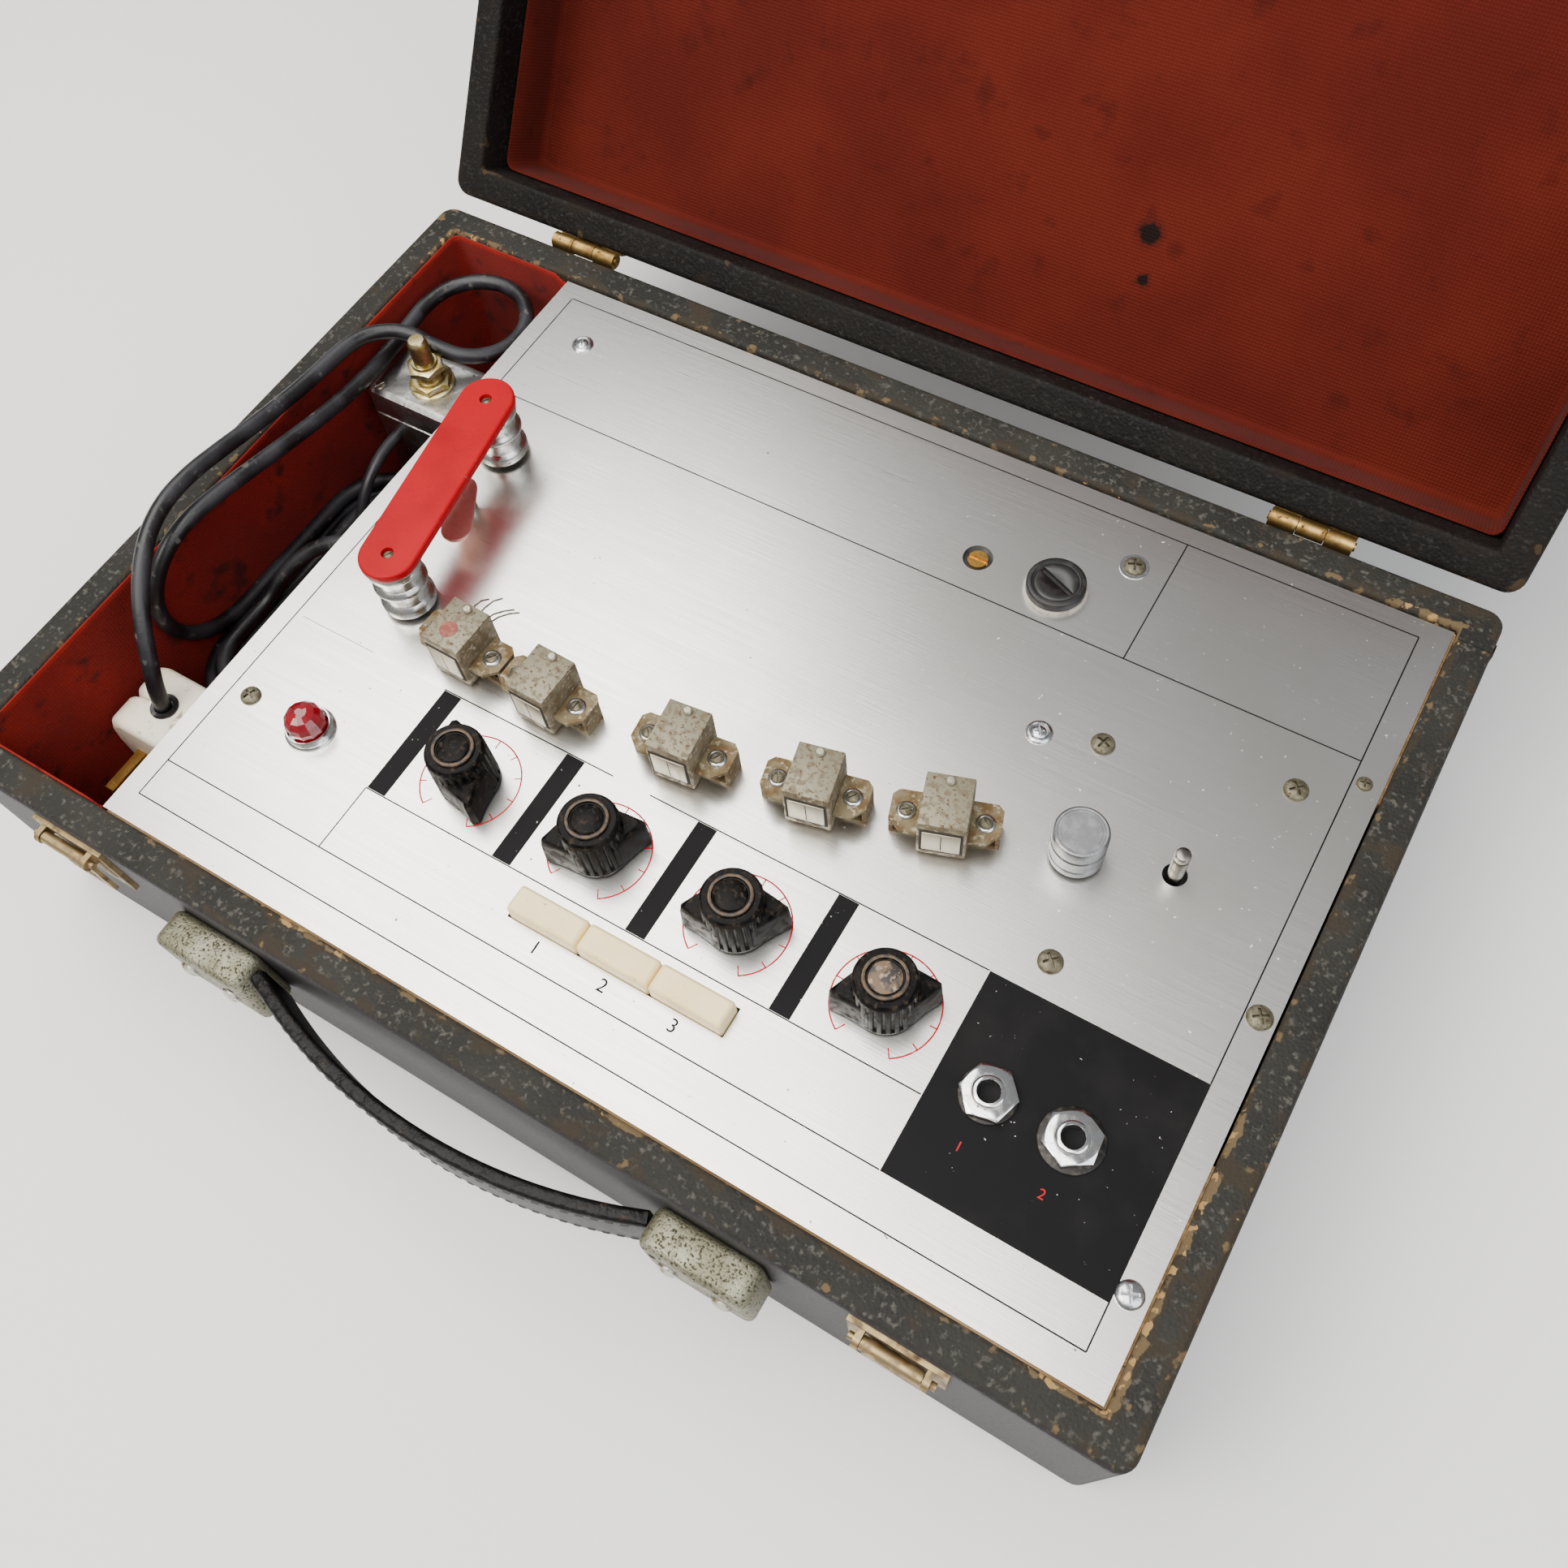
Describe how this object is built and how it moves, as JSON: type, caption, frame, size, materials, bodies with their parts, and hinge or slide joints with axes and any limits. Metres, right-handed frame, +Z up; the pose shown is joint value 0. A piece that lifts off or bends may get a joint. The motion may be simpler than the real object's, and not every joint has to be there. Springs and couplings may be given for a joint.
{
  "type": "tape echo unit",
  "caption": "Tape echo unit in a lidded carrying case with a control panel, rotary knobs, press keys, tape heads, rollers, capstan motor, and stowed leads.",
  "frame": {"origin": "centre of the underside of the case's floor board, between the rubber feet", "axes": "+X to the player's right, +Y from the handle side to the hinge side, +Z up"},
  "size_m": [0.432, 0.5207, 0.3413],
  "materials": {
    "covered_board": "grained leathercloth, worn at corners",
    "plywood": "bare plywood",
    "red_cloth": "flocked lining cloth",
    "foot_rubber": "matt",
    "plated_screws": "nickel plate, dulled",
    "hinge_brass": "aged",
    "catch_brass": "aged, rust specks",
    "strap_leather": "glossy black",
    "cap_metal": "pitted grey",
    "panel_aluminium": "satin",
    "bronzed_screws": "browned",
    "bright_chrome": "polished",
    "plated_steel": "zinc plate",
    "knob_black": "dusty black moulding",
    "key_cream": "polished cream",
    "jewel_red": "faceted",
    "holder_grey": "pale moulding",
    "black_moulding": "polished black",
    "dial_brass": "worn",
    "erase_head_metal": "tarnished can",
    "head_metal": "tarnished can, rust specks",
    "bracket_metal": "passivated, dull",
    "red_enamel": "semi-gloss enamel",
    "copper_leaf": "dull copper alloy",
    "idler_rubber": "worn grey",
    "capstan_steel": "ground",
    "motor_grey": "grey enamel",
    "iron_core": "varnished laminations",
    "circuit_laminate": "resin bonded board",
    "switch_metal": "hammered grey",
    "button_metal": "plated",
    "plug_cream": "yellowed white moulding",
    "pin_brass": "bright",
    "mains_cord": "black sheath",
    "switch_cord": "dark grey sheath"
  },
  "bodies": {
    "case": {"case_side_boards": "covered_board", "case_front_back_boards": "covered_board", "case_floor": "covered_board", "partition": "plywood", "panel_battens": "plywood", "compartment_lining": "red_cloth", "feet": "foot_rubber", "case_screws": "plated_screws", "hinge_case_leaves": "hinge_brass", "catch_plates": "catch_brass", "handle_strap": "strap_leather", "handle_caps": "cap_metal", "panel_plate": "panel_aluminium", "panel_screws": "bronzed_screws", "jack_sockets": "bright_chrome", "pot_bodies": "plated_steel", "key_frame": "plated_steel", "lamp_bezel": "bright_chrome", "lamp_jewel": "jewel_red", "fuse_holder": "holder_grey", "selector_body": "black_moulding", "erase_head": "erase_head_metal", "record_replay_heads": "head_metal", "head_brackets": "bracket_metal", "roller_bridge": "red_enamel", "roller_posts": "plated_steel", "tension_leaf": "copper_leaf", "motor_body": "motor_grey", "transformer": "iron_core", "circuit_board": "circuit_laminate", "footswitch_box": "switch_metal", "mains_plug": "plug_cream", "plug_pins": "pin_brass", "partition_grommets": "foot_rubber", "mains_hank": "mains_cord", "mains_lead": "mains_cord", "footswitch_hank": "switch_cord", "footswitch_lead": "switch_cord"},
    "lid": {"lid_side_boards": "covered_board", "lid_front_back_boards": "covered_board", "lid_top": "covered_board", "lid_lining": "red_cloth", "hinge_lid_leaves": "hinge_brass", "catch_strikes": "catch_brass"},
    "knob_1": {"knob_1": "knob_black"},
    "knob_2": {"knob_2": "knob_black"},
    "knob_3": {"knob_3": "knob_black"},
    "knob_4": {"knob_4": "knob_black"},
    "key_1": {"key_1": "key_cream"},
    "key_2": {"key_2": "key_cream"},
    "key_3": {"key_3": "key_cream"},
    "fuse_cap": {"fuse_cap": "black_moulding"},
    "selector_dial": {"selector_dial": "dial_brass"},
    "capstan_rotor": {"capstan_rotor": "capstan_steel"},
    "idler_roller": {"idler_roller": "idler_rubber"},
    "guide_roller_front": {"guide_roller_front": "bright_chrome"},
    "guide_roller_back": {"guide_roller_back": "bright_chrome"},
    "catch_lever_left": {"catch_lever_left": "catch_brass"},
    "catch_lever_right": {"catch_lever_right": "catch_brass"},
    "footswitch_button": {"footswitch_button": "button_metal"}
  },
  "joints": [
    {"name": "lid_hinge", "type": "hinge", "parent": "case", "child": "lid", "pos_m": [0, 0.148, 0.092], "axis": [1, 0, 0], "range_deg": [0, 125]},
    {"name": "knob_1_turn", "type": "hinge", "parent": "case", "child": "knob_1", "pos_m": [-0.0466, -0.0663, 0.09], "axis": [0, 0, 1], "range_deg": [-194, 106]},
    {"name": "knob_2_turn", "type": "hinge", "parent": "case", "child": "knob_2", "pos_m": [0.0038, -0.0663, 0.09], "axis": [0, 0, 1], "range_deg": [-100, 200]},
    {"name": "knob_3_turn", "type": "hinge", "parent": "case", "child": "knob_3", "pos_m": [0.0542, -0.0663, 0.09], "axis": [0, 0, 1], "range_deg": [-88, 212]},
    {"name": "knob_4_turn", "type": "hinge", "parent": "case", "child": "knob_4", "pos_m": [0.1046, -0.0663, 0.09], "axis": [0, 0, 1], "range_deg": [-93, 207]},
    {"name": "key_1_press", "type": "slide", "parent": "case", "child": "key_1", "axis": [0, 0, -1], "range_m": [0, 0.0035], "stiffness_N_per_m": 250, "springref_m": -0.002},
    {"name": "key_2_press", "type": "slide", "parent": "case", "child": "key_2", "axis": [0, 0, -1], "range_m": [0, 0.0035], "stiffness_N_per_m": 250, "springref_m": -0.002},
    {"name": "key_3_press", "type": "slide", "parent": "case", "child": "key_3", "axis": [0, 0, -1], "range_m": [0, 0.0035], "stiffness_N_per_m": 250, "springref_m": -0.002},
    {"name": "fuse_cap_turn", "type": "hinge", "parent": "case", "child": "fuse_cap", "pos_m": [0.0841, 0.0878, 0.09], "axis": [0, 0, 1], "range_deg": [0, 90]},
    {"name": "selector_turn", "type": "hinge", "parent": "case", "child": "selector_dial", "pos_m": [0.0555, 0.0875, 0.09], "axis": [0, 0, 1], "range_deg": [0, 90]},
    {"name": "capstan_spin", "type": "hinge", "parent": "case", "child": "capstan_rotor", "pos_m": [0.1601, 0.0109, 0.09], "axis": [0, 0, 1], "continuous": true},
    {"name": "idler_spin", "type": "hinge", "parent": "case", "child": "idler_roller", "pos_m": [0.1318, 0.0024, 0.09], "axis": [0, 0, 1], "continuous": true},
    {"name": "guide_roller_front_spin", "type": "hinge", "parent": "case", "child": "guide_roller_front", "pos_m": [-0.1073, -0.0195, 0.09], "axis": [0, 0, 1], "continuous": true},
    {"name": "guide_roller_back_spin", "type": "hinge", "parent": "case", "child": "guide_roller_back", "pos_m": [-0.1183, 0.0499, 0.09], "axis": [0, 0, 1], "continuous": true},
    {"name": "catch_left_swing", "type": "hinge", "parent": "case", "child": "catch_lever_left", "pos_m": [-0.152, -0.1491, 0.084], "axis": [-1, 0, 0], "range_deg": [0, 180]},
    {"name": "catch_right_swing", "type": "hinge", "parent": "case", "child": "catch_lever_right", "pos_m": [0.152, -0.1491, 0.084], "axis": [-1, 0, 0], "range_deg": [0, 180]},
    {"name": "footswitch_press", "type": "slide", "parent": "case", "child": "footswitch_button", "axis": [0, 0, -1], "range_m": [0, 0.003], "stiffness_N_per_m": 800, "springref_m": -0.003}
  ]
}
